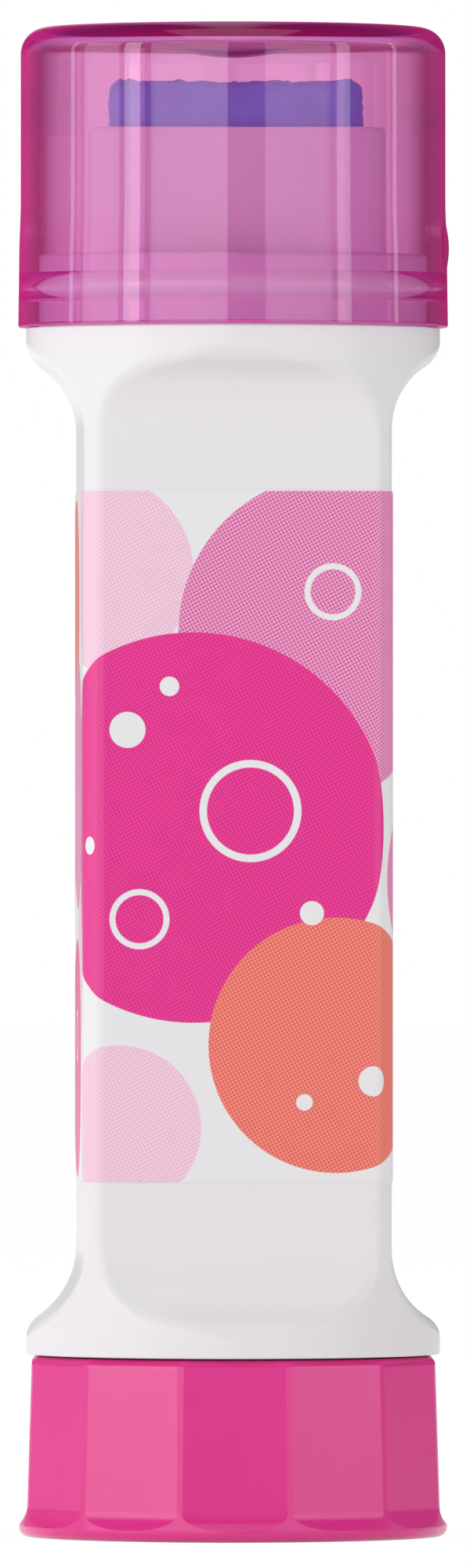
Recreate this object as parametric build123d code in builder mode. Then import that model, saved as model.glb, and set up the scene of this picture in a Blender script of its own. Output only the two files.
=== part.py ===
from build123d import *
import math
import os

os.makedirs("parts", exist_ok=True)

# Frame: millimetres, +Z up, origin at the centre of the knob's foot.
# The barrel's flats face +X, -X, +Y and -Y, and -Y is the front.

# Glue block and the square bore that it slides in
glue_half_width = 8.43
glue_standout = 3.6  # height of the glue above the mouth
glue_top_rounding = 1.0
glue_clearance = 0.18  # side of the glue to the wall of the bore
spindle_room = 0.3  # glue around and above the spindle

# Barrel: one white moulding, round at both ends, with four flats between
sleeve_wall = 1.05
sleeve_corner = 2.4
sleeve_height = 8.4  # mouth above the collar
sleeve_edge_rounding = 0.3
collar_margin = 0.334  # collar beyond the corners of the sleeve
collar_height = 4.85
collar_wall = 1.1
collar_edge_rounding = 0.25
shoulder_width = 0.88
barrel_height = 68.75  # lower edge to the shoulder that the cap seats on
flat_step = 0.62  # flats beyond the sides of the sleeve
flat_edge_rounding = 1.0
barrel_edge_rounding = 0.12
lower_curve_top = 7.1  # above the lower edge
lower_hollow_radius = 5.25
lower_crown_radius = 2.1
upper_curve_depth = 6.95  # below the shoulder
upper_hollow_radius = 5.0
upper_crown_radius = 2.6
curve_overrun = 0.05  # end curves run out past the round ends by this much
skin = 1.3
bulkhead = 1.5
upper_pocket_floor = 1.55  # below the shoulder

# Snap bead on the collar and the groove for it in the cap
bead_drop = 2.2  # middle of the bead below the top of the collar
bead_half_height = 0.8
bead_depth = 0.18
groove_half_height = 1.0
groove_depth = 0.3
cap_clearance = 0.07  # bead to the inside of the cap

# Cap: transparent, with a dished top
cap_seat_gap = 0.05
cap_headroom = 1.15  # glue to the lowest point of the ceiling
ceiling_bulge = 1.0  # ceiling under the dish
cap_top_wall = 1.15
cap_wall = 1.0
cap_skirt_step = 0.11
cap_skirt_height = 6.0
cap_skirt_taper = 0.9
cap_rim_flare = 0.06
cap_rim_chamfer = 0.25
cap_corner_radius = 1.75
dish_radius = 7.0
dish_depth = 1.1
pip_height = 5.45  # middle of the pip above the rim
pip_half_length = 1.45
pip_depth = 0.15

# Label: a thin film around the flats and corners, with its seam at the back
label_thickness = 0.08
label_bottom = 11.7  # above the lower edge of the barrel
label_drop = 11.05  # upper edge of the label below the shoulder
label_seam = 0.3

# Knob: twelve grips over a flared foot, hollow from below
knob_height = 12.1
knob_gap = 0.1  # knob to the lower edge of the barrel
knob_grips = 12
knob_rest_angle = -1.5  # degrees, as it stands in the photograph
knob_draft = 1.75  # degrees
knob_inset = 0.37  # upper edge of a grip inside the round of the barrel
knob_ridge = 0.42  # round strips between grips, beyond the grips
foot_overhang = 0.48  # foot outside the round of the barrel
foot_height = 0.75
foot_rounding = 0.6
flare_height = 2.0  # where the grips start to turn out to the foot
flare_radius = 1.8
knob_top_rounding = 0.55
knob_wall = 1.5
knob_plate = 1.5
boss_wall = 1.6
boss_recess = 1.6  # boss above the foot
rib_count = 6
rib_thickness = 1.0
rib_recess = 3.4  # ribs above the foot

# Spindle: square drive, journal, thrust flange and a two-start screw
drive_width = 5.0
drive_corner = 0.6
drive_clearance = 0.03
drive_recess = 2.6  # end of the drive above the foot
drive_chamfer = 0.5
journal_radius = 3.6
journal_clearance = 0.05
thrust_gap = 0.05
flange_radius = 6.0
flange_thickness = 1.2
thread_lead = 6.0
thread_root_radius = 2.1
thread_crest_radius = 3.2
thread_crest_width = 1.6
thread_middle_width = 3.4
spindle_drop = 8.45  # tip below the mouth
tip_radius = 2.0
tip_length = 1.0
tip_chamfer = 0.6

# Carrier: square cup with a threaded sleeve, which cannot turn in the bore
carrier_clearance = 0.1
carrier_travel = 4.8  # down from the place that the photograph shows
carrier_floor_gap = 0.7  # above the flange when it is all the way down
carrier_floor = 1.5
carrier_skirt_height = 5.0
carrier_skirt_wall = 0.9
nut_wall = 1.3
nut_height = 8.5
nut_clearance = 0.15

overrun = 1.0  # length that cuts run past the faces they open

# Widths that fit into each other
bore_half_width = glue_half_width + glue_clearance
bore_corner = sleeve_corner - sleeve_wall
sleeve_half_width = bore_half_width + sleeve_wall
sleeve_reach = (sleeve_half_width - sleeve_corner) * math.sqrt(2) + sleeve_corner
collar_radius = sleeve_reach + collar_margin
barrel_radius = collar_radius + shoulder_width
flat_distance = sleeve_half_width + flat_step
cap_bore_radius = collar_radius + bead_depth + cap_clearance
cap_radius = cap_bore_radius + cap_wall
skirt_radius = cap_radius + cap_skirt_step
foot_radius = barrel_radius + foot_overhang
grip_distance = barrel_radius - knob_inset  # at the knob's upper face
knob_cavity_radius = grip_distance - knob_wall

# Heights that stack on each other
barrel_bottom = knob_height + knob_gap
bulkhead_top = barrel_bottom + bulkhead
shoulder = barrel_bottom + barrel_height
collar_top = shoulder + collar_height
mouth = collar_top + sleeve_height
bead_middle = collar_top - bead_drop
cap_rim = shoulder + cap_seat_gap
flange_bottom = bulkhead_top + thrust_gap
thread_bottom = flange_bottom + flange_thickness
spindle_tip = mouth - spindle_drop
thread_top = spindle_tip - tip_length
carrier_bottom = thread_bottom + carrier_floor_gap + carrier_travel
glue_bottom = carrier_bottom + carrier_floor
glue_top = mouth + glue_standout
ceiling = glue_top + cap_headroom + ceiling_bulge
cap_top = ceiling + cap_top_wall


def end_curve(start, heading, hollow_radius, crown_radius, inset):
    """Two tangent arcs from a flat out to the round end, going up for heading 1 and down for -1."""
    rise = barrel_radius + curve_overrun - flat_distance
    bend = math.degrees(math.acos(1 - rise / (hollow_radius + crown_radius)))
    hollow = JernArc(start, (0, heading), hollow_radius + inset, -heading * bend)
    crown = JernArc(hollow @ 1, hollow % 1, crown_radius - inset, heading * bend)
    return hollow, crown


def waist_block():
    """Solid outside one flat and its two end curves."""
    low_start = (flat_distance, barrel_bottom + lower_curve_top)
    high_start = (flat_distance, shoulder - upper_curve_depth)
    far = barrel_radius + overrun
    with BuildPart() as block:
        with BuildSketch(Plane.XZ):
            with BuildLine():
                Line(low_start, high_start)
                low_crown = end_curve(low_start, -1, lower_hollow_radius, lower_crown_radius, 0)[1]
                high_crown = end_curve(high_start, 1, upper_hollow_radius, upper_crown_radius, 0)[1]
                low_end = low_crown @ 1
                high_end = high_crown @ 1
                Polyline(low_end, (far, low_end.Y), (far, high_end.Y), high_end)
            make_face()
        extrude(amount=far, both=True)
    return block.part


def waisted_bar():
    """Square bar round the barrel, cut back to the four flats and their end curves."""
    waist = waist_block()
    bar_width = barrel_radius * 2 + overrun
    with BuildPart() as bar:
        with BuildSketch(Plane.XY.offset(barrel_bottom - overrun)):
            Rectangle(bar_width, bar_width)
        extrude(amount=barrel_height + overrun * 2)
        with PolarLocations(0, 4):
            add(waist, mode=Mode.SUBTRACT)
    return bar.part


def waist_outline():
    """Outline round the four flats and the corner strips between them."""
    with BuildSketch() as outline:
        Circle(barrel_radius)
        Rectangle(flat_distance * 2, flat_distance * 2, mode=Mode.INTERSECT)
        fillet(outline.vertices(), radius=flat_edge_rounding)
    return outline.sketch


def lower_pocket():
    """Hollow behind one lower end curve, open below."""
    start = (flat_distance - skin, barrel_bottom + lower_curve_top)
    low = barrel_bottom - overrun
    with BuildPart() as pocket:
        with BuildSketch(Plane.XZ):
            with BuildLine():
                crown = end_curve(start, -1, lower_hollow_radius, lower_crown_radius, skin)[1]
                end = crown @ 1
                Polyline(end, (end.X, low), (start[0], low), start)
            make_face()
            with Locations((sleeve_half_width, low)):
                pocket_size = (barrel_radius, lower_curve_top + overrun)
                Rectangle(*pocket_size, align=(Align.MIN, Align.MIN), mode=Mode.INTERSECT)
        extrude(amount=barrel_radius, both=True)
        with BuildSketch(Plane.XY.offset(low)):
            Circle(barrel_radius - skin)
        extrude(amount=lower_curve_top + overrun, mode=Mode.INTERSECT)
    return pocket.part


def upper_pocket():
    """Hollow between one side of the sleeve and the collar, open above."""
    with BuildPart() as pocket:
        with BuildSketch(Plane.XY.offset(shoulder - upper_pocket_floor)):
            Circle(collar_radius - collar_wall)
            with Locations((sleeve_half_width, 0)):
                side_align = (Align.MIN, Align.CENTER)
                Rectangle(barrel_radius, barrel_radius * 2, align=side_align, mode=Mode.INTERSECT)
        extrude(amount=upper_pocket_floor + collar_height + overrun)
    return pocket.part


def ring(radius, middle, half_height, depth, root):
    """Ring with an arched outer face, from root out to radius plus depth at its middle."""
    with BuildPart() as band:
        with BuildSketch(Plane.XZ):
            with BuildLine():
                low = (radius, middle - half_height)
                high = (radius, middle + half_height)
                ThreePointArc(low, (radius + depth, middle), high)
                Polyline(high, (root, middle + half_height), (root, middle - half_height), low)
            make_face()
        revolve(axis=Axis.Z)
    return band.part


def grip_block():
    """Solid outside one grip of the knob, with the flare below it and the rounding above."""
    slope = math.tan(math.radians(knob_draft))
    high = knob_height - knob_top_rounding
    near_low = grip_distance + (high - flare_height) * slope
    far = foot_radius + overrun
    flare_bend = math.degrees(math.acos(1 - (foot_radius - near_low) / flare_radius))
    with BuildPart() as block:
        with BuildSketch(Plane.XZ):
            with BuildLine():
                face = Line((grip_distance, high), (near_low, flare_height))
                flare = JernArc(face @ 1, face % 1, flare_radius, flare_bend)
                brow = JernArc(face @ 0, (0, 1), knob_top_rounding, 90)
                low_end = flare @ 1
                top_end = brow @ 1
                corners = [
                    (far, low_end.Y),
                    (far, knob_height + overrun),
                    (top_end.X, knob_height + overrun),
                ]
                Polyline(low_end, *corners, top_end)
            make_face()
        extrude(amount=foot_radius, both=True)
    return block.part


def screw(clearance, length):
    """Two-start screw from the thrust flange up, grown by clearance."""
    half_crest = thread_crest_width / 2 + clearance
    half_middle = thread_middle_width / 2 + clearance
    reach = thread_crest_radius + overrun
    with BuildLine() as spine:
        Line((0, 0, thread_bottom), (0, 0, thread_bottom + length))
    with BuildLine() as guide:
        Helix(thread_lead, length, thread_crest_radius, center=(0, 0, thread_bottom))
    with BuildPart() as rod:
        with BuildSketch(Plane.XY.offset(thread_bottom)):
            with BuildLine():
                bottom = (0, -half_middle)
                top = (0, half_middle)
                Polyline(bottom, (reach, -half_crest), (reach, half_crest), top)
                Polyline(top, (-reach, half_crest), (-reach, -half_crest), bottom)
            make_face()
            Circle(thread_crest_radius + clearance, mode=Mode.INTERSECT)
            Circle(thread_root_radius + clearance)
        sweep(path=spine.line, binormal=guide.edges()[0])
    return rod.part


# Barrel
square_bar = waisted_bar()
low_pocket = lower_pocket()
high_pocket = upper_pocket()
bead = ring(collar_radius, bead_middle, bead_half_height, bead_depth, collar_radius - collar_wall / 2)

corner_plane = Plane((0, 0, barrel_bottom), x_dir=(1, 1, 0), z_dir=(0, 0, 1))

with BuildPart() as barrel:
    with BuildSketch(corner_plane):
        Circle(barrel_radius)
    extrude(amount=barrel_height)
    add(square_bar, mode=Mode.INTERSECT)
    round_face = barrel.faces().filter_by(GeomType.CYLINDER).sort_by(SortBy.AREA)[-1]
    lowest = barrel_bottom + barrel_edge_rounding  # the round face's seam starts below this
    highest = shoulder - barrel_edge_rounding
    flat_edges = [e for e in round_face.edges() if lowest < e.bounding_box().min.Z < highest]
    fillet(flat_edges, radius=flat_edge_rounding)
    lower_edge = barrel.edges().group_by(Axis.Z)[0]
    fillet(lower_edge, radius=barrel_edge_rounding)
    shoulder_edge = barrel.edges().group_by(Axis.Z)[-1]
    fillet(shoulder_edge, radius=barrel_edge_rounding)
    with BuildSketch(Plane.XY.offset(shoulder)):
        Circle(collar_radius)
    extrude(amount=collar_height)
    collar_edge = barrel.edges().group_by(Axis.Z)[-1]
    fillet(collar_edge, radius=collar_edge_rounding)
    add(bead)
    with PolarLocations(0, 4):
        add(high_pocket, mode=Mode.SUBTRACT)
        add(low_pocket, mode=Mode.SUBTRACT)
    with BuildSketch(Plane.XY.offset(collar_top)):
        RectangleRounded(sleeve_half_width * 2, sleeve_half_width * 2, sleeve_corner)
    extrude(amount=sleeve_height)
    mouth_edge = barrel.edges().group_by(Axis.Z)[-1]
    fillet(mouth_edge, radius=sleeve_edge_rounding)
    with BuildSketch(Plane.XY.offset(bulkhead_top)):
        RectangleRounded(bore_half_width * 2, bore_half_width * 2, bore_corner)
    extrude(amount=mouth - bulkhead_top + overrun, mode=Mode.SUBTRACT)
    with BuildSketch(Plane.XY.offset(barrel_bottom - overrun)):
        Circle(journal_radius + journal_clearance)
    extrude(amount=bulkhead + overrun * 2, mode=Mode.SUBTRACT)
barrel.part.label = "barrel"
export_step(barrel.part, "parts/barrel.step")

# Label
with BuildPart() as label:
    with BuildSketch(Plane.XY.offset(barrel_bottom + label_bottom)):
        add(waist_outline())
        offset(amount=label_thickness)
        add(waist_outline(), mode=Mode.SUBTRACT)
        with Locations((flat_distance / 2, flat_distance)):
            Rectangle(label_seam, barrel_radius, mode=Mode.SUBTRACT)
    extrude(amount=barrel_height - label_bottom - label_drop)
label.part.label = "label"
export_step(label.part, "parts/label.step")

# Cap
groove = ring(cap_bore_radius, bead_middle, groove_half_height, groove_depth, cap_bore_radius - overrun)
taper_top = cap_rim + cap_skirt_height + cap_skirt_taper

with BuildPart() as cap:
    with BuildSketch(Plane.XZ):
        with BuildLine():
            rim_edge = (skirt_radius + cap_rim_flare, cap_rim)
            skirt_top = (skirt_radius, cap_rim + cap_skirt_height)
            Polyline((0, cap_rim), rim_edge, skirt_top)
            Spline(skirt_top, (cap_radius, taper_top), tangents=((0, 1), (0, 1)))
            side = Line((cap_radius, taper_top), (cap_radius, cap_top - cap_corner_radius))
            corner = JernArc(side @ 1, (0, 1), cap_corner_radius, 90)
            Line(corner @ 1, (dish_radius, cap_top))
            Spline((dish_radius, cap_top), (0, cap_top - dish_depth), tangents=((-1, 0), (-1, 0)))
            Line((0, cap_top - dish_depth), (0, cap_rim))
        make_face()
    revolve(axis=Axis.Z)
    with BuildSketch(Plane.XZ):
        with BuildLine():
            inner_corner = cap_corner_radius - cap_wall
            bore_low = (cap_bore_radius, cap_rim - overrun)
            bore_side = Line(bore_low, (cap_bore_radius, ceiling - inner_corner))
            bore_round = JernArc(bore_side @ 1, (0, 1), inner_corner, 90)
            Line(bore_round @ 1, (dish_radius, ceiling))
            Spline((dish_radius, ceiling), (0, ceiling - ceiling_bulge), tangents=((-1, 0), (-1, 0)))
            Polyline((0, ceiling - ceiling_bulge), (0, cap_rim - overrun), bore_low)
        make_face()
    revolve(axis=Axis.Z, mode=Mode.SUBTRACT)
    add(groove, mode=Mode.SUBTRACT)
    rim_edges = cap.edges().group_by(Axis.Z)[0].sort_by(SortBy.RADIUS)
    chamfer(rim_edges[0], length=cap_rim_chamfer)
    pip_root = cap_radius - cap_wall / 3
    pip_tip = skirt_radius + pip_depth
    pip_radius = (pip_half_length**2 + pip_depth**2) / (pip_depth * 2)
    pip_bend = math.degrees(math.acos(1 - (pip_tip - pip_root) / pip_radius))
    with BuildSketch(Plane.XZ):
        with BuildLine():
            dome = JernArc((pip_tip, cap_rim + pip_height), (0, 1), pip_radius, pip_bend)
            Polyline(dome @ 1, (pip_root, cap_rim + pip_height), dome @ 0)
        make_face()
    revolve(axis=Axis((0, 0, cap_rim + pip_height), (1, 0, 0)))
cap.part.label = "cap"
export_step(cap.part, "parts/cap.step")

# Knob
grip = grip_block()
slope = math.tan(math.radians(knob_draft))
strip_top = grip_distance + knob_ridge
strip_low = strip_top + (knob_height - flare_height) * slope
plate_bottom = knob_height - knob_plate
boss_radius = drive_width / 2 * math.sqrt(2) + boss_wall

with BuildPart() as knob:
    with BuildSketch(Plane.XZ):
        with BuildLine():
            foot_flat = Line((0, 0), (foot_radius - foot_rounding, 0))
            foot_arc = JernArc(foot_flat @ 1, (1, 0), foot_rounding, 90)
            strip_high = (strip_top, knob_height - knob_top_rounding)
            Polyline(foot_arc @ 1, (foot_radius, foot_height), (strip_low, flare_height), strip_high)
            top_arc = JernArc(strip_high, (0, 1), knob_top_rounding, 90)
            Polyline(top_arc @ 1, (0, knob_height), (0, 0))
        make_face()
    revolve(axis=Axis.Z)
    with PolarLocations(0, knob_grips, start_angle=knob_rest_angle):
        add(grip, mode=Mode.SUBTRACT)
    with BuildSketch():
        Circle(knob_cavity_radius)
        Circle(boss_radius, mode=Mode.SUBTRACT)
    extrude(amount=plate_bottom, mode=Mode.SUBTRACT)
    with BuildSketch():
        Circle(boss_radius + overrun)
    extrude(amount=boss_recess, mode=Mode.SUBTRACT)
    with BuildSketch(Plane.XY.offset(rib_recess)):
        with PolarLocations((boss_radius + knob_cavity_radius) / 2, rib_count):
            Rectangle(knob_cavity_radius - boss_radius + rib_thickness, rib_thickness)
    extrude(amount=plate_bottom - rib_recess)
    with BuildSketch():
        socket_width = drive_width + drive_clearance * 2
        RectangleRounded(socket_width, socket_width, drive_corner + drive_clearance)
    extrude(amount=knob_height + overrun, mode=Mode.SUBTRACT)
knob.part.label = "knob"
export_step(knob.part, "parts/knob.step")

# Spindle
threads = screw(0, thread_top - thread_bottom)

with BuildPart() as spindle:
    with BuildSketch(Plane.XY.offset(drive_recess)):
        RectangleRounded(drive_width, drive_width, drive_corner)
    extrude(amount=knob_height - drive_recess)
    drive_end = spindle.edges().group_by(Axis.Z)[0]
    chamfer(drive_end, length=drive_chamfer)
    with BuildSketch(Plane.XY.offset(knob_height)):
        Circle(journal_radius)
    extrude(amount=flange_bottom - knob_height)
    with BuildSketch(Plane.XY.offset(flange_bottom)):
        Circle(flange_radius)
    extrude(amount=flange_thickness)
    add(threads)
    with BuildSketch(Plane.XY.offset(thread_top)):
        Circle(tip_radius)
    extrude(amount=tip_length)
    tip_edge = spindle.edges().group_by(Axis.Z)[-1]
    chamfer(tip_edge, length=tip_chamfer)
spindle.part.label = "spindle"
export_step(spindle.part, "parts/spindle.step")

# Carrier
carrier_half_width = bore_half_width - carrier_clearance
carrier_corner = bore_corner - carrier_clearance
cup_half_width = carrier_half_width - carrier_skirt_wall
cup_corner = carrier_corner - carrier_skirt_wall
nut_radius = thread_crest_radius + nut_clearance + nut_wall
nut_top = carrier_bottom + nut_height
nut_hole = screw(nut_clearance, nut_top - thread_bottom + overrun)

with BuildPart() as carrier:
    with BuildSketch(Plane.XY.offset(carrier_bottom)):
        RectangleRounded(carrier_half_width * 2, carrier_half_width * 2, carrier_corner)
    extrude(amount=carrier_skirt_height)
    with BuildSketch(Plane.XY.offset(glue_bottom)):
        RectangleRounded(cup_half_width * 2, cup_half_width * 2, cup_corner)
    extrude(amount=carrier_skirt_height, mode=Mode.SUBTRACT)
    with BuildSketch(Plane.XY.offset(carrier_bottom)):
        Circle(nut_radius)
    extrude(amount=nut_height)
    add(nut_hole, mode=Mode.SUBTRACT)
carrier.part.label = "carrier"
export_step(carrier.part, "parts/carrier.step")

# Glue
skirt_top_height = carrier_bottom + carrier_skirt_height
glue_corner = bore_corner - glue_clearance
bore_end = spindle_tip + carrier_travel + spindle_room

with BuildPart() as glue:
    with BuildSketch(Plane.XY.offset(skirt_top_height)):
        RectangleRounded(glue_half_width * 2, glue_half_width * 2, glue_corner)
    extrude(amount=glue_top - skirt_top_height)
    top_edges = glue.edges().group_by(Axis.Z)[-1]
    fillet(top_edges, radius=glue_top_rounding)
    with BuildSketch(Plane.XY.offset(glue_bottom)):
        RectangleRounded(cup_half_width * 2, cup_half_width * 2, cup_corner)
    extrude(amount=skirt_top_height - glue_bottom)
    with BuildSketch(Plane.XY.offset(glue_bottom)):
        Circle(nut_radius)
    extrude(amount=nut_top - glue_bottom, mode=Mode.SUBTRACT)
    with BuildSketch(Plane.XY.offset(nut_top)):
        Circle(thread_crest_radius + spindle_room)
    extrude(amount=bore_end - nut_top, mode=Mode.SUBTRACT)
glue.part.label = "glue"
export_step(glue.part, "parts/glue.step")
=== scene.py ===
import bmesh
import bpy
import math
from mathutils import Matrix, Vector, noise


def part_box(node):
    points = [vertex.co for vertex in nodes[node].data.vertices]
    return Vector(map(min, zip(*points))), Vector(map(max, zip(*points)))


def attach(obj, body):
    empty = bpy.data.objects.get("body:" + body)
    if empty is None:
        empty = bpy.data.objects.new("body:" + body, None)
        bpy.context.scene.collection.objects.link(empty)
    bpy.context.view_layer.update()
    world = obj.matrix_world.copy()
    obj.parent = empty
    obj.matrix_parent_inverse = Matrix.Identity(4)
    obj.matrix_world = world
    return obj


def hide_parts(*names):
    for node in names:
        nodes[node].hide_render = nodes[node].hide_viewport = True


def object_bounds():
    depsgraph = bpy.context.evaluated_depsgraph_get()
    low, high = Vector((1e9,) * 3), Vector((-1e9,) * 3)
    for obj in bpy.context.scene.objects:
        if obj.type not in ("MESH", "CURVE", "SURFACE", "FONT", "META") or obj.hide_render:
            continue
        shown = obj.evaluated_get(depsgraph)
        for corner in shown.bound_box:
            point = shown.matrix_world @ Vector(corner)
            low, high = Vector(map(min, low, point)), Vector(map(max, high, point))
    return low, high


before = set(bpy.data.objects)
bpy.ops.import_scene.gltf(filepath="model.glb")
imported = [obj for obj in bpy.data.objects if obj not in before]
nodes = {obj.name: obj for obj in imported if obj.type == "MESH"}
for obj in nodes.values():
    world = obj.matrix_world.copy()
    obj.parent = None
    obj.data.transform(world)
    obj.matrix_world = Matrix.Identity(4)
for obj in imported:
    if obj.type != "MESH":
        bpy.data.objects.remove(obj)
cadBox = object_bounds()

mm = 0.001
capLow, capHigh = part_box("cap")
glueLow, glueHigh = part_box("glue")


class Wire:
    # wraps a socket, so that sums of values read as plain expressions
    def __init__(self, tree, socket=None):
        self.tree = tree
        self.socket = socket

    def node(self, kind, settings=None, inputs=None, output=0):
        made = self.tree.nodes.new("ShaderNode" + kind)
        for name, value in (settings or {}).items():
            setattr(made, name, value)
        for name, value in (inputs or {}).items():
            if isinstance(value, Wire):
                self.tree.links.new(value.socket, made.inputs[name])
            else:
                made.inputs[name].default_value = value
        return Wire(self.tree, made.outputs[output])

    def maths(self, operation, *values, clamp=False):
        settings = {"operation": operation, "use_clamp": clamp}
        return self.node("Math", settings, dict(enumerate(values)))

    def __add__(self, other):
        return self.maths("ADD", self, other)

    def __radd__(self, other):
        return self.maths("ADD", other, self)

    def __sub__(self, other):
        return self.maths("SUBTRACT", self, other)

    def __rsub__(self, other):
        return self.maths("SUBTRACT", other, self)

    def __mul__(self, other):
        return self.maths("MULTIPLY", self, other)

    def __rmul__(self, other):
        return self.maths("MULTIPLY", other, self)

    def __truediv__(self, other):
        return self.maths("DIVIDE", self, other)

    def __neg__(self):
        return self.maths("MULTIPLY", self, -1)

    def clamp(self):
        return self.maths("ADD", self, 0, clamp=True)


def newMaterial(name):
    material = bpy.data.materials.new(name)
    material.use_nodes = True
    material.node_tree.nodes.clear()
    return material, Wire(material.node_tree)


def blendColour(start, factor, first, second):
    return start.node("Mix", {"data_type": "RGBA"}, {0: factor, 6: first, 7: second}, output=2)


def noiseOn(start, coords, size, detail):
    # size is the width of one blotch
    return start.node("TexNoise", None, {
        "Vector": coords, "Scale": 1 / size, "Detail": detail, "Roughness": 0.5,
    })


def smoothStep(start, value, low, high):
    return start.node("MapRange", {"interpolation_type": "SMOOTHSTEP"}, {
        "Value": value, "From Min": low, "From Max": high,
    })


def outputsOf(wire, *names):
    # named outputs of the node that a wire comes from
    return [Wire(wire.tree, wire.socket.node.outputs[name]) for name in names]


def objectPlace(start):
    return outputsOf(start.node("TexCoord"), "Object")[0]


def split(start, vector):
    return outputsOf(start.node("SeparateXYZ", None, {"Vector": vector}), "X", "Y", "Z")


def addOutput(start, inputs):
    output = start.tree.nodes.new("ShaderNodeOutputMaterial")
    for name, wire in inputs.items():
        start.tree.links.new(wire.socket, output.inputs[name])


def dress(obj, material):
    # the node keeps its one slot, with the new material in it
    obj.data.materials.clear()
    obj.data.materials.append(material)


def deselectAll():
    bpy.ops.object.select_all(action="DESELECT")


def selectOnly(obj):
    deselectAll()
    obj.select_set(True)
    bpy.context.view_layer.objects.active = obj


def capture(name):
    # names the object that the last operator made
    made = bpy.context.active_object
    made.name = name
    made.data.name = name
    return made


def startEditing(obj, selectMode):
    # edit mode with nothing selected
    selectOnly(obj)
    bpy.ops.object.mode_set(mode="EDIT")
    bpy.ops.mesh.select_mode(type=selectMode)
    bpy.ops.mesh.select_all(action="DESELECT")


def stopEditing():
    bpy.ops.object.mode_set(mode="OBJECT")


def settle(obj):
    # puts the object's place into its mesh
    selectOnly(obj)
    bpy.ops.object.transform_apply(location=True, rotation=True, scale=True)


def extrudeUp(rise):
    bpy.ops.mesh.extrude_region_move(TRANSFORM_OT_translate={"value": (0, 0, rise)})


def widen(factor, height):
    bpy.ops.transform.resize(value=(factor, factor, 1), center_override=(0, 0, height))


def lathe(name, rings, steps):
    # rings are (radius, height) pairs from one pole to the other, both on the axis
    deselectAll()
    bpy.ops.mesh.primitive_circle_add(
        vertices=steps, radius=rings[1][0], fill_type="TRIFAN", location=(0, 0, rings[1][1])
    )
    made = capture(name)
    settle(made)
    centre = min(made.data.vertices, key=lambda vertex: vertex.co.xy.length)
    centre.co.z = rings[0][1]
    startEditing(made, "EDGE")
    bpy.ops.mesh.select_non_manifold()
    lastRadius, lastHeight = rings[1]
    for radius, height in rings[2:-1]:
        extrudeUp(height - lastHeight)
        widen(radius / lastRadius, height)
        lastRadius, lastHeight = radius, height
    extrudeUp(rings[-1][1] - lastHeight)
    bpy.ops.mesh.merge(type="CENTER")
    bpy.ops.mesh.select_all(action="SELECT")
    bpy.ops.mesh.normals_make_consistent(inside=False)
    stopEditing()
    return made


def smoothByAngle(obj, degrees):
    selectOnly(obj)
    bpy.ops.object.shade_smooth_by_angle(angle=math.radians(degrees))


def arcRings(middleRadius, middleHeight, radius, startAngle, endAngle, count):
    # points along an arc, in degrees from the outward direction
    rings = []
    for index in range(count + 1):
        angle = math.radians(startAngle + (endAngle - startAngle) * index / count)
        rings.append((middleRadius + radius * math.cos(angle), middleHeight + radius * math.sin(angle)))
    return rings


def ease(share):
    return share * share * (3 - 2 * share)


print("frame loaded")

# Cap: one lathe form with the snap groove, the flared skirt, the dished top and a pip at the side
cap = {
    "steps": 240,
    "smoothAngle": 16,
    "boreRadius": 13.25 * mm,
    "wall": 1.0 * mm,
    "skirtRadius": 14.36 * mm,
    "rimFlare": 0.06 * mm,
    "rimBevel": 0.25 * mm,
    "rimRound": 0.12 * mm,
    "skirtHeight": 4.6 * mm,
    "taper": 4.0 * mm,
    "corner": 1.75 * mm,
    "topWall": 1.15 * mm,
    "ceilingBulge": 0.8 * mm,
    "dishRadius": 7.0 * mm,
    "dishDepth": 1.0 * mm,
    "dishSteps": 14,
    "cornerSteps": 14,
    "ceilingCornerSteps": 10,
    "rimSteps": 8,
    "skirtSteps": 22,
    "taperSteps": 12,
    "grooveHeight": 2.6 * mm,
    "grooveHalf": 1.0 * mm,
    "grooveDepth": 0.3 * mm,
    "grooveSteps": 12,
    "pipHeight": 5.45 * mm,
    "pipHalf": 1.45 * mm,
    "pipDepth": 0.15 * mm,
}


def dishRings(level, depth):
    # from the middle of a dish to its edge
    rings = []
    for index in range(cap["dishSteps"] + 1):
        share = index / cap["dishSteps"]
        rings.append((cap["dishRadius"] * share, level - depth * (1 - ease(share))))
    return rings


def boreRings(rim, bore):
    # down the bore, past the snap groove, to the rim
    middle = rim + cap["grooveHeight"]
    half = cap["grooveHalf"]
    rings = [(bore, middle + half)]
    for index in range(1, cap["grooveSteps"]):
        share = index / cap["grooveSteps"] * 2 - 1
        rings.append((bore + cap["grooveDepth"] * (1 - share * share), middle - half * share))
    rings.append((bore, middle - half))
    rings.append((bore, rim + cap["rimBevel"]))
    rings.append((bore + cap["rimBevel"], rim))
    return rings


def skirtRings(rim, outer):
    # up the flared skirt and the taper above it
    skirt = cap["skirtRadius"]
    flare = skirt + cap["rimFlare"]
    rimRound = cap["rimRound"]
    rings = arcRings(flare - rimRound, rim + rimRound, rimRound, -90, 0, cap["rimSteps"])
    for index in range(1, cap["skirtSteps"] + 1):
        share = index / cap["skirtSteps"]
        height = rim + rimRound + (cap["skirtHeight"] - rimRound) * share
        rings.append((flare - cap["rimFlare"] * share, height))
    for index in range(1, cap["taperSteps"] + 1):
        share = index / cap["taperSteps"]
        height = rim + cap["skirtHeight"] + cap["taper"] * share
        rings.append((skirt + (outer - skirt) * ease(share), height))
    return rings


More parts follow.
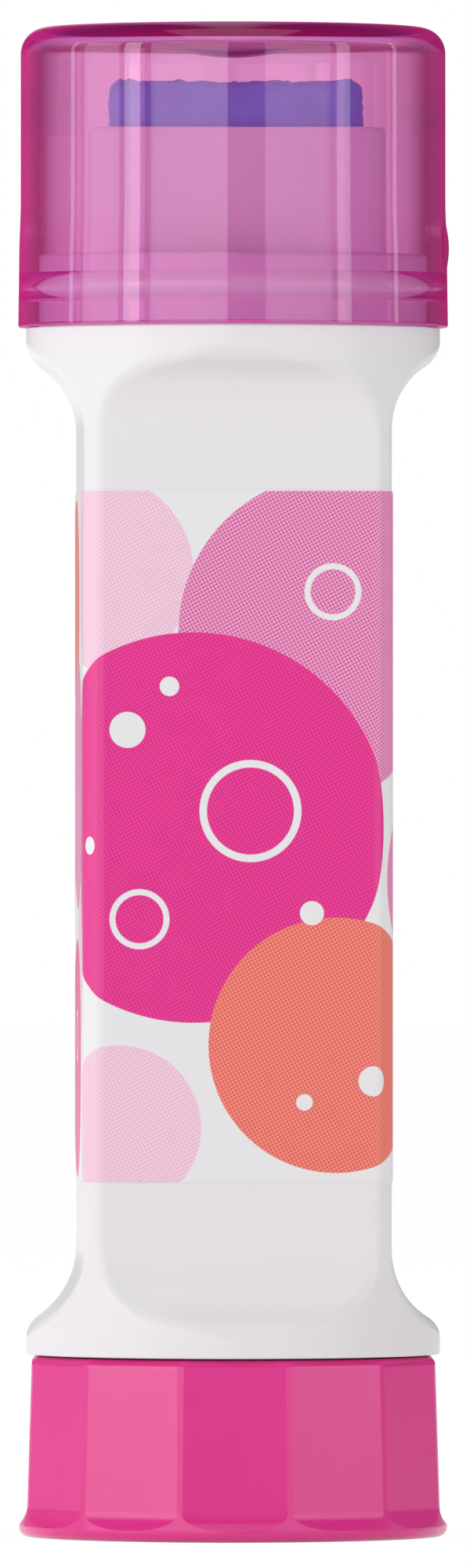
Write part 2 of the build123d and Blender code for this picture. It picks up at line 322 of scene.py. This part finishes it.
def capRings():
    # from the middle of the ceiling, round the rim, to the middle of the dish
    rim = capLow.z
    top = capHigh.z
    ceiling = top - cap["topWall"]
    bore = cap["boreRadius"]
    outer = bore + cap["wall"]
    corner = cap["corner"]
    inner = corner - cap["wall"]
    rings = dishRings(ceiling, cap["ceilingBulge"])
    rings += arcRings(bore - inner, ceiling - inner, inner, 90, 0, cap["ceilingCornerSteps"])
    rings += boreRings(rim, bore)
    rings += skirtRings(rim, outer)
    rings += arcRings(outer - corner, top - corner, corner, 0, 90, cap["cornerSteps"])
    rings += reversed(dishRings(top, cap["dishDepth"]))
    return rings


capShell = lathe("capShell", capRings(), cap["steps"])
pipMiddle = Vector((0, capLow.z + cap["pipHeight"]))
for vertex in capShell.data.vertices:
    spot = Vector((vertex.co.y, vertex.co.z)) - pipMiddle
    if vertex.co.x > cap["skirtRadius"] - cap["wall"] / 2 and spot.length < cap["pipHalf"]:
        vertex.co.x += cap["pipDepth"] * (1 - (spot.length / cap["pipHalf"]) ** 2)
smoothByAngle(capShell, cap["smoothAngle"])
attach(capShell, "cap")
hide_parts("cap")
print("cap done")

# Glue: a soft block with a worn, uneven top, on the foot that the carrier's cup holds
glue = {
    "smoothAngle": 50,
    "cornerRadius": 1.1 * mm,
    "cornerSteps": 8,
    "topRounding": 1.1 * mm,
    "waveHeight": 0.22 * mm,
    "waveLength": 3.0 * mm,
    "sideWave": 0.16 * mm,
    "lumpLength": 0.55 * mm,
    "lumpHeight": 0.34 * mm,
    "sideLump": 0.18 * mm,
    "footHeight": 3.5 * mm,
    "footInset": 0.92 * mm,
    "boreRadius": 3.5 * mm,
    "boreTop": 91.05 * mm,
    "boreSteps": 48,
    "nutRadius": 4.65 * mm,
    "nutTop": 28.95 * mm,
    "cutterReach": 1 * mm,
    "wornFrom": 92.0 * mm,
    "wornSteps": 10,
    "roundSteps": 7,
    "insetSteps": 18,
    "insetShare": 0.94,
    "longestEdge": 1.0 * mm,
    "edgeCuts": 15,
    "seamSlack": 0.1 * mm,
    "leastWorn": 0.001,
    "levelFrom": 0.9,
    "sideReach": 0.6,
    "sideStart": 3,
    "dropStart": 2,
}


def roundedBlock(name, low, high, corner, segments):
    deselectAll()
    bpy.ops.mesh.primitive_cube_add(size=1, location=(low + high) / 2)
    made = capture(name)
    made.scale = high - low
    settle(made)
    startEditing(made, "EDGE")
    mesh = bmesh.from_edit_mesh(made.data)
    for edge in mesh.edges:
        first, second = edge.verts
        edge.select_set(abs(first.co.z - second.co.z) > (high.z - low.z) / 2)
    bmesh.update_edit_mesh(made.data)
    bpy.ops.mesh.bevel(offset=corner, offset_type="OFFSET", segments=segments, profile=0.5)
    stopEditing()
    return made


def cutHole(obj, radius, low, high, steps):
    deselectAll()
    bpy.ops.mesh.primitive_cylinder_add(
        vertices=steps, radius=radius, depth=high - low, location=(0, 0, (low + high) / 2)
    )
    cutter = capture(obj.name + "Cutter")
    settle(cutter)
    selectOnly(obj)
    cut = obj.modifiers.new("bore", "BOOLEAN")
    cut.operation = "DIFFERENCE"
    cut.solver = "EXACT"
    cut.object = cutter
    bpy.ops.object.modifier_apply(modifier=cut.name)
    bpy.data.objects.remove(cutter)


def selectLevelFaces(obj, direction):
    # the faces that look straight up (1) or down (-1)
    mesh = bmesh.from_edit_mesh(obj.data)
    for face in mesh.faces:
        face.select_set(face.normal.z * direction > glue["levelFrom"])
    bmesh.update_edit_mesh(obj.data)


def makeGlue():
    blockLow = Vector((glueLow.x, glueLow.y, glueLow.z + glue["footHeight"]))
    block = roundedBlock("glueBlock", blockLow, glueHigh, glue["cornerRadius"], glue["cornerSteps"])
    startEditing(block, "FACE")
    selectLevelFaces(block, -1)
    bpy.ops.mesh.inset(thickness=glue["footInset"], depth=0)
    extrudeUp(-glue["footHeight"])
    # the standing end is cut off level, and the worn end grows from the cut
    bpy.ops.mesh.select_all(action="SELECT")
    bpy.ops.mesh.bisect(
        plane_co=(0, 0, glue["wornFrom"]), plane_no=(0, 0, 1), clear_outer=True, use_fill=True
    )
    stopEditing()
    return block


def growTop(block):
    # rings of the worn end, drawn in and rounded over towards the top
    startEditing(block, "FACE")
    selectLevelFaces(block, 1)
    rounding = glue["topRounding"]
    straight = glueHigh.z - rounding - glue["wornFrom"]
    for index in range(glue["wornSteps"]):
        extrudeUp(straight / glue["wornSteps"])
    width = glueHigh.x
    lastRise = 0
    for index in range(1, glue["roundSteps"] + 1):
        angle = math.radians(90 * index / glue["roundSteps"])
        rise = rounding * math.sin(angle)
        extrudeUp(rise - lastRise)
        nextWidth = glueHigh.x - rounding * (1 - math.cos(angle))
        widen(nextWidth / width, 0)
        width, lastRise = nextWidth, rise
    inward = width * glue["insetShare"] / glue["insetSteps"]
    for index in range(glue["insetSteps"]):
        extrudeUp(0)
        widen((width - inward) / width, 0)
        width -= inward
    bpy.ops.mesh.poke()
    stopEditing()


def splitLongEdges(block):
    startEditing(block, "EDGE")
    mesh = bmesh.from_edit_mesh(block.data)
    lowest = glue["wornFrom"] - glue["seamSlack"]
    longEdges = [
        edge for edge in mesh.edges
        if min(vertex.co.z for vertex in edge.verts) > lowest and edge.calc_length() > glue["longestEdge"]
    ]
    bmesh.ops.subdivide_edges(mesh, edges=longEdges, cuts=glue["edgeCuts"], use_grid_fill=True)
    bmesh.update_edit_mesh(block.data)
    stopEditing()


def roughenTop(block):
    # long waves and short lumps, always inwards or downwards
    reach = (glue["sideWave"] + glue["sideLump"]) * glue["sideReach"]
    deepest = glue["waveHeight"] + glue["lumpHeight"]
    for vertex in block.data.vertices:
        place = vertex.co.copy()
        worn = (place.z - glue["wornFrom"]) / (glueHigh.z - glue["wornFrom"])
        if worn <= glue["leastWorn"]:
            continue
        wave = noise.noise(place / glue["waveLength"])
        lump = noise.noise(place / glue["lumpLength"])
        side = Vector((place.x, place.y, 0)).normalized()
        inwards = min(0, wave * glue["sideWave"] + lump * glue["sideLump"] - reach)
        vertex.co += side * inwards * min(1, worn * glue["sideStart"])
        drop = wave * glue["waveHeight"] + lump * glue["lumpHeight"] - deepest
        vertex.co.z += drop * max(0, worn * glue["dropStart"] - 1)


glueBlock = makeGlue()
growTop(glueBlock)
splitLongEdges(glueBlock)
roughenTop(glueBlock)
for radius, top in ((glue["nutRadius"], glue["nutTop"]), (glue["boreRadius"], glue["boreTop"])):
    cutHole(glueBlock, radius, glueLow.z - glue["cutterReach"], top, glue["boreSteps"])
smoothByAngle(glueBlock, glue["smoothAngle"])
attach(glueBlock, "carrier")
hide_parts("glue")
print("glue done")

# Plastics: colour, the colour of its blotches and roughness for each moulding
plastic = {
    "barrelPlastic": ((0.845, 0.822, 0.842, 1), (0.815, 0.79, 0.815, 1), 0.32),
    "knobPlastic": ((0.80, 0.032, 0.285, 1), (0.76, 0.026, 0.26, 1), 0.22),
    "innerPlastic": ((0.82, 0.81, 0.82, 1), (0.76, 0.75, 0.76, 1), 0.45),
    "blotch": 9 * mm,
    "roughnessSpread": 0.1,
    "grain": 0.35 * mm,
    "grainHeight": 0.005 * mm,
    "grainStrength": 0.5,
    "blotchDetail": 3,
    "grainDetail": 3,
}


def blotchyPlastic(name, look, surface):
    # a blotchy colour and gloss, with a fine grain as bump
    colour, shade, roughness = look
    material, start = newMaterial(name)
    place = objectPlace(start)
    blotches = noiseOn(start, place, surface["blotch"], surface["blotchDetail"])
    grain = noiseOn(start, place, surface["grain"], surface["grainDetail"])
    bump = start.node("Bump", None, {
        "Strength": surface["grainStrength"], "Distance": surface["grainHeight"], "Height": grain,
    })
    shader = start.node("BsdfPrincipled", None, {
        "Base Color": blendColour(start, blotches, shade, colour),
        "Roughness": roughness + (blotches - 0.5) * surface["roughnessSpread"],
        "Normal": bump,
    })
    addOutput(start, {"Surface": shader})
    return material


innerPlastic = blotchyPlastic("innerPlastic", plastic["innerPlastic"], plastic)
dress(nodes["barrel"], blotchyPlastic("barrelPlastic", plastic["barrelPlastic"], plastic))
dress(nodes["knob"], blotchyPlastic("knobPlastic", plastic["knobPlastic"], plastic))
dress(nodes["spindle"], innerPlastic)
dress(nodes["carrier"], innerPlastic)
print("plastics done")

# See-through cap: clear gloss surface, tinted in its depth
capTint = {
    "density": 560,
    "colour": (0.84, 0.06, 0.68, 1),
    "passed": (0.95, 0.98, 0.98, 1),
    "ior": 1.49,
    "roughness": 0.03,
    "deepest": 1.5,
    "body": (0.54, 0.012, 0.17, 1),
    "bodyShare": 0.09,
    # painted deep shade at the cap's edges, where the view grazes the wall
    "paintedEdgeShadeShare": 0.6,
    "paintedEdgeShadeStart": 0.53,
    "paintedEdgeShadeGain": 4,
}


def seeThroughPlastic():
    material, start = newMaterial("capPlastic")
    glass = start.node("BsdfPrincipled", None, {
        "Base Color": (1, 1, 1, 1),
        "Roughness": capTint["roughness"],
        "IOR": capTint["ior"],
        "Transmission Weight": 1.0,
    })
    # lamps and soft light pass straight through, and so does light that has bounced inside for long
    clear = start.node("BsdfTransparent", None, {"Color": capTint["passed"]})
    shadowRay, softRay, bounces = outputsOf(
        start.node("LightPath"), "Is Shadow Ray", "Is Diffuse Ray", "Glossy Depth"
    )
    lost = start.maths("GREATER_THAN", bounces, capTint["deepest"])
    straight = (shadowRay + softRay + lost).clamp()
    # a little of the dye's lit colour everywhere, and much more where the eye looks along the wall, as
    # painted deep shade on the cap's edges
    body = start.node("BsdfDiffuse", None, {"Color": capTint["body"]})
    facing = outputsOf(start.node("LayerWeight", None, {"Blend": 0.5}), "Facing")[0]
    # painted edge shade: the deep crimson diffuse is mixed in where the view grazes the wall
    paintedEdgeShade = ((facing - capTint["paintedEdgeShadeStart"]) * capTint["paintedEdgeShadeGain"]).clamp()
    share = paintedEdgeShade * capTint["paintedEdgeShadeShare"] + capTint["bodyShare"]
    dyedWithEdgeShade = start.node("MixShader", None, {0: share, 1: glass, 2: body})
    surface = start.node("MixShader", None, {0: straight, 1: dyedWithEdgeShade, 2: clear})
    depth = start.node("VolumeAbsorption", None, {
        "Color": capTint["colour"], "Density": capTint["density"],
    })
    addOutput(start, {"Surface": surface, "Volume": depth})
    return material


dress(capShell, seeThroughPlastic())
print("cap plastic done")

# Glue paste: waxy violet blue with a dull skin
paste = {
    "look": ((0.15, 0.37, 0.80, 1), (0.08, 0.22, 0.66, 1), 0.42),
    "blotch": 1.6 * mm,
    "roughnessSpread": 0.3,
    "grain": 0.3 * mm,
    "grainHeight": 0.06 * mm,
    "grainStrength": 0.6,
    "blotchDetail": 4,
    "grainDetail": 3,
}
dress(glueBlock, blotchyPlastic("gluePaste", paste["look"], paste))
print("glue paste done")

# Label: large printed discs in flat colours with a visible dot screen
label = {
    "flat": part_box("label")[1].x,
    "seam": 35.98 * mm,
    "edge": 0.06 * mm,
    "dotPitch": 0.23 * mm,
    "dotAngle": 28,
    "dotGain": 0.55,
    "roughness": 0.3,
    # light and deep tone of each ink
    "inks": {
        "paper": ((0.84, 0.83, 0.845, 1), (0.84, 0.83, 0.845, 1)),
        "rose": ((0.88, 0.42, 0.64, 1), (0.68, 0.08, 0.33, 1)),
        "magenta": ((0.86, 0.035, 0.34, 1), (0.74, 0.006, 0.21, 1)),
        "blush": ((0.90, 0.70, 0.80, 1), (0.88, 0.46, 0.65, 1)),
        "coral": ((0.91, 0.29, 0.19, 1), (0.82, 0.10, 0.11, 1)),
    },
    # ink, place along the wrap, height, radius, width of the ring (zero for a full disc), all in mm
    "discs": [
        ("blush", -9.5, 64.5, 6.5, 0),
        ("rose", 6.5, 60.5, 10.5, 0),
        ("magenta", -3.0, 47.5, 13.0, 0),
        ("coral", 6.5, 33.0, 8.5, 0),
        ("blush", -8.0, 27.5, 5.5, 0),
        ("magenta", 19.5, 63.5, 7.0, 0),
        ("coral", 27.0, 51.0, 9.0, 0),
        ("rose", 17.5, 44.0, 7.0, 0),
        ("blush", 24.5, 33.0, 7.5, 0),
        ("rose", 34.0, 64.0, 6.0, 0),
        ("rose", 32.0, 28.0, 6.0, 0),
        ("rose", -42.0, 63.0, 9.0, 0),
        ("magenta", -39.0, 48.0, 11.5, 0),
        ("coral", -33.5, 33.0, 7.0, 0),
        ("blush", -43.5, 29.5, 6.5, 0),
        ("coral", -26.0, 62.5, 7.0, 0),
        ("rose", -22.0, 50.5, 8.5, 0),
        ("blush", -17.0, 38.0, 5.0, 0),
        ("magenta", -23.5, 32.0, 8.0, 0),
        ("paper", 0.8, 48.6, 3.4, 0.5),
        ("paper", -7.4, 54.0, 1.2, 0),
        ("paper", -4.6, 56.9, 0.65, 0),
        ("paper", 4.9, 41.8, 0.8, 0),
        ("paper", -6.6, 41.4, 2.0, 0.4),
        ("paper", -10.4, 46.3, 0.6, 0),
        ("paper", 6.3, 63.2, 1.9, 0.4),
        ("paper", 9.0, 30.6, 1.0, 0),
        ("paper", 4.4, 29.2, 0.55, 0),
        ("paper", -40.5, 49.5, 3.0, 0.5),
        ("paper", -36.0, 43.0, 1.0, 0),
        ("paper", 27.5, 52.5, 2.2, 0.4),
        ("paper", -24.0, 33.5, 1.8, 0.4),
    ],
}


def labelPrint():
    material, start = newMaterial("labelFilm")
    x, y, z = split(start, objectPlace(start))
    # the place along the wrap, counted over the four flats
    quarter = math.pi / 2
    turn = start.maths("ARCTAN2", x, -y)
    side = start.maths("ROUND", turn / quarter, 0)
    across = start.maths("TANGENT", turn - side * quarter, 0)
    wrap = (side * 2 + across) * label["flat"]
    past = start.maths("GREATER_THAN", wrap, label["seam"])
    wrap = wrap - past * (label["flat"] * 8)
    waves = 2 * math.pi / label["dotPitch"]
    angle = math.radians(label["dotAngle"])
    along = (wrap * math.cos(angle) + z * math.sin(angle)) * waves
    over = (z * math.cos(angle) - wrap * math.sin(angle)) * waves
    screen = start.maths("COSINE", along, 0) + start.maths("COSINE", over, 0)
    dots = (screen * label["dotGain"] + 0.5).clamp()
    colour = label["inks"]["paper"][0]
    for ink, place, height, radius, ring in label["discs"]:
        light, deep = label["inks"][ink]
        dx = wrap - place * mm
        dz = z - height * mm
        distance = start.maths("SQRT", dx * dx + dz * dz, 0)
        inside = ((radius * mm - distance) / label["edge"] + 0.5).clamp()
        if ring:
            inside = inside * ((distance - (radius - ring) * mm) / label["edge"] + 0.5).clamp()
        printed = blendColour(start, dots, deep, light)
        colour = blendColour(start, inside, colour, printed)
    shader = start.node("BsdfPrincipled", None, {
        "Base Color": colour,
        "Roughness": label["roughness"],
    })
    addOutput(start, {"Surface": shader})
    return material


dress(nodes["label"], labelPrint())
print("label done")

# Studio: white floor, two soft fronts with a gap between them, strips and rims at the sides
studio = {
    "floorColour": (0.80, 0.80, 0.80, 1),
    "width": 6.0,
    "frontLevel": 0.2,
    "backLevel": 0.95,
    "turnover": 0.35,
    "glossWall": (0.02, 0.16, 0.07),
    "glassWall": (0.1, 0.55, 0.35),
    "besideFrom": 0.04,
    "besideTo": 0.09,
    "besideDim": 0.12,
    "ceilingLow": 0.35,
    "ceilingHigh": 0.7,
    "shadowKept": 0.12,
    "floorGlow": 1.06,
    "cameraDistance": 1.45,
    "cameraReach": 20,
    "sensorWidth": 36,
    "cameraTurn": 2.0,
    "cameraHeight": 50.4 * mm,
    "aimRight": 0.13 * mm,
    "lens": 496.5,
}


eyes = ("Is Camera Ray", "Is Glossy Ray", "Is Transmission Ray")


def whiteForEyes(name, base):
    # white where the camera, gloss or glass looks at it, and a plain pale surface for all other light
    material, start = newMaterial(name)
    camera, gloss, through = outputsOf(start.node("LightPath"), *eyes)
    seen = (camera + gloss + through).clamp() * (1 - studio["shadowKept"])
    pale = start.node("BsdfDiffuse", None, {"Color": base})
    glow = start.node("Emission", None, {
        "Color": (1, 1, 1, 1), "Strength": studio["floorGlow"],
    })
    addOutput(start, {"Surface": start.node("MixShader", None, {0: seen, 1: pale, 2: glow})})
    return material


def makeStage():
    deselectAll()
    bpy.ops.mesh.primitive_plane_add(size=studio["width"], location=(0, 0, 0))
    floor = capture("floor")
    settle(floor)
    dress(floor, whiteForEyes("paleFloor", studio["floorColour"]))


makeStage()


def lamp(name, angle, elevation, distance, width, height, strength):
    # an area lamp at an angle to the right of the camera's line, facing the middle of the stick
    deselectAll()
    turn = math.radians(angle - studio["cameraTurn"])
    rise = math.radians(elevation)
    middle = Vector((0, 0, cadBox[1].z / 2))
    flat = math.cos(rise)
    away = Vector((math.sin(turn) * flat, -math.cos(turn) * flat, math.sin(rise)))
    bpy.ops.object.light_add(type="AREA", location=middle + away * distance)
    made = bpy.context.active_object
    made.name = name
    made.data.shape = "RECTANGLE"
    made.data.size = width
    made.data.size_y = height
    # the lamp's power that gives its face this radiance
    made.data.energy = strength * math.pi * width * height
    made.rotation_euler = away.to_track_quat("Z", "Y").to_euler()
    made.visible_camera = False
    made.visible_glossy = name not in unmirrored
    made.visible_transmission = name not in unmirrored


unmirrored = ("backLeft",)
# name, angle from the camera's line, elevation, distance, width, height, radiance
lamps = [
    ("stripLeft", -56, 0, 0.9, 0.15, 0.8, 4.8),
    ("stripRight", 62, 0, 0.9, 0.13, 0.8, 3.1),
    ("sideLeft", -76, 0, 0.95, 0.40, 0.8, 2.0),
    ("frontLeft", -24, 6, 1.2, 0.92, 0.8, 2.02),
    ("frontRight", 36, 6, 1.2, 0.80, 0.8, 1.5),
    ("above", 0, 68, 1.0, 0.8, 0.8, 0.9),
    ("backLeft", -118, 0, 1.0, 0.50, 0.8, 3.0),
    ("rimLeft", -97, 0, 0.95, 0.05, 0.8, 2.4),
    ("rimRight", 98, 0, 0.95, 0.05, 0.8, 2.4),
]
for entry in lamps:
    lamp(*entry)


def makeWorld():
    world = bpy.data.worlds.new("studioWorld")
    bpy.context.scene.world = world
    world.use_nodes = True
    world.node_tree.nodes.clear()
    start = Wire(world.node_tree)
    camera, gloss, through, bounces = outputsOf(start.node("LightPath"), *eyes, "Glossy Depth")
    # a dim room in front of the stick and a white wall behind it
    across, depth, height = split(start, start.node("TexCoord"))
    aside = start.maths("ABSOLUTE", across, 0)
    behind = smoothStep(start, depth, -studio["turnover"], studio["turnover"])
    level = studio["frontLevel"] + behind * (studio["backLevel"] - studio["frontLevel"])
    ceiling = smoothStep(start, height, studio["ceilingLow"], studio["ceilingHigh"])
    lost = start.maths("GREATER_THAN", bounces, capTint["deepest"])

    def wallLevel(inner, outer, cardLevel, more):
        # a white wall straight behind the stick, with dim cards beside it
        wall = smoothStep(start, aside, outer, inner) * behind
        return cardLevel + (wall + more).clamp() * (1 - cardLevel)

    forGloss = wallLevel(*studio["glossWall"], lost)
    beside = smoothStep(start, aside, studio["besideFrom"], studio["besideTo"])
    forGlass = wallLevel(*studio["glassWall"], ceiling) * (1 - beside * studio["besideDim"])
    glossOnly = gloss * (1 - (camera + through).clamp())
    glassOnly = through * (1 - camera)
    strength = level + camera * (1 - level)
    strength = strength + glassOnly * (forGlass - level) + glossOnly * (forGloss - level)
    background = start.node("Background", None, {"Color": (1, 1, 1, 1), "Strength": strength})
    output = world.node_tree.nodes.new("ShaderNodeOutputWorld")
    world.node_tree.links.new(background.socket, output.inputs["Surface"])


makeWorld()


def makeCamera():
    turn = math.radians(studio["cameraTurn"])
    away = Vector((-math.sin(turn), -math.cos(turn), 0))
    right = Vector((math.cos(turn), -math.sin(turn), 0))
    place = away * studio["cameraDistance"] + right * studio["aimRight"]
    place.z = studio["cameraHeight"]
    bpy.ops.object.camera_add(location=place)
    camera = bpy.context.active_object
    camera.rotation_euler = away.to_track_quat("Z", "Y").to_euler()
    camera.data.lens = studio["lens"]
    camera.data.sensor_width = studio["sensorWidth"]
    camera.data.clip_end = studio["cameraReach"]
    camera.data.dof.use_dof = False
    bpy.context.scene.camera = camera


makeCamera()
bpy.context.scene.view_settings.view_transform = "Standard"
print("studio done")
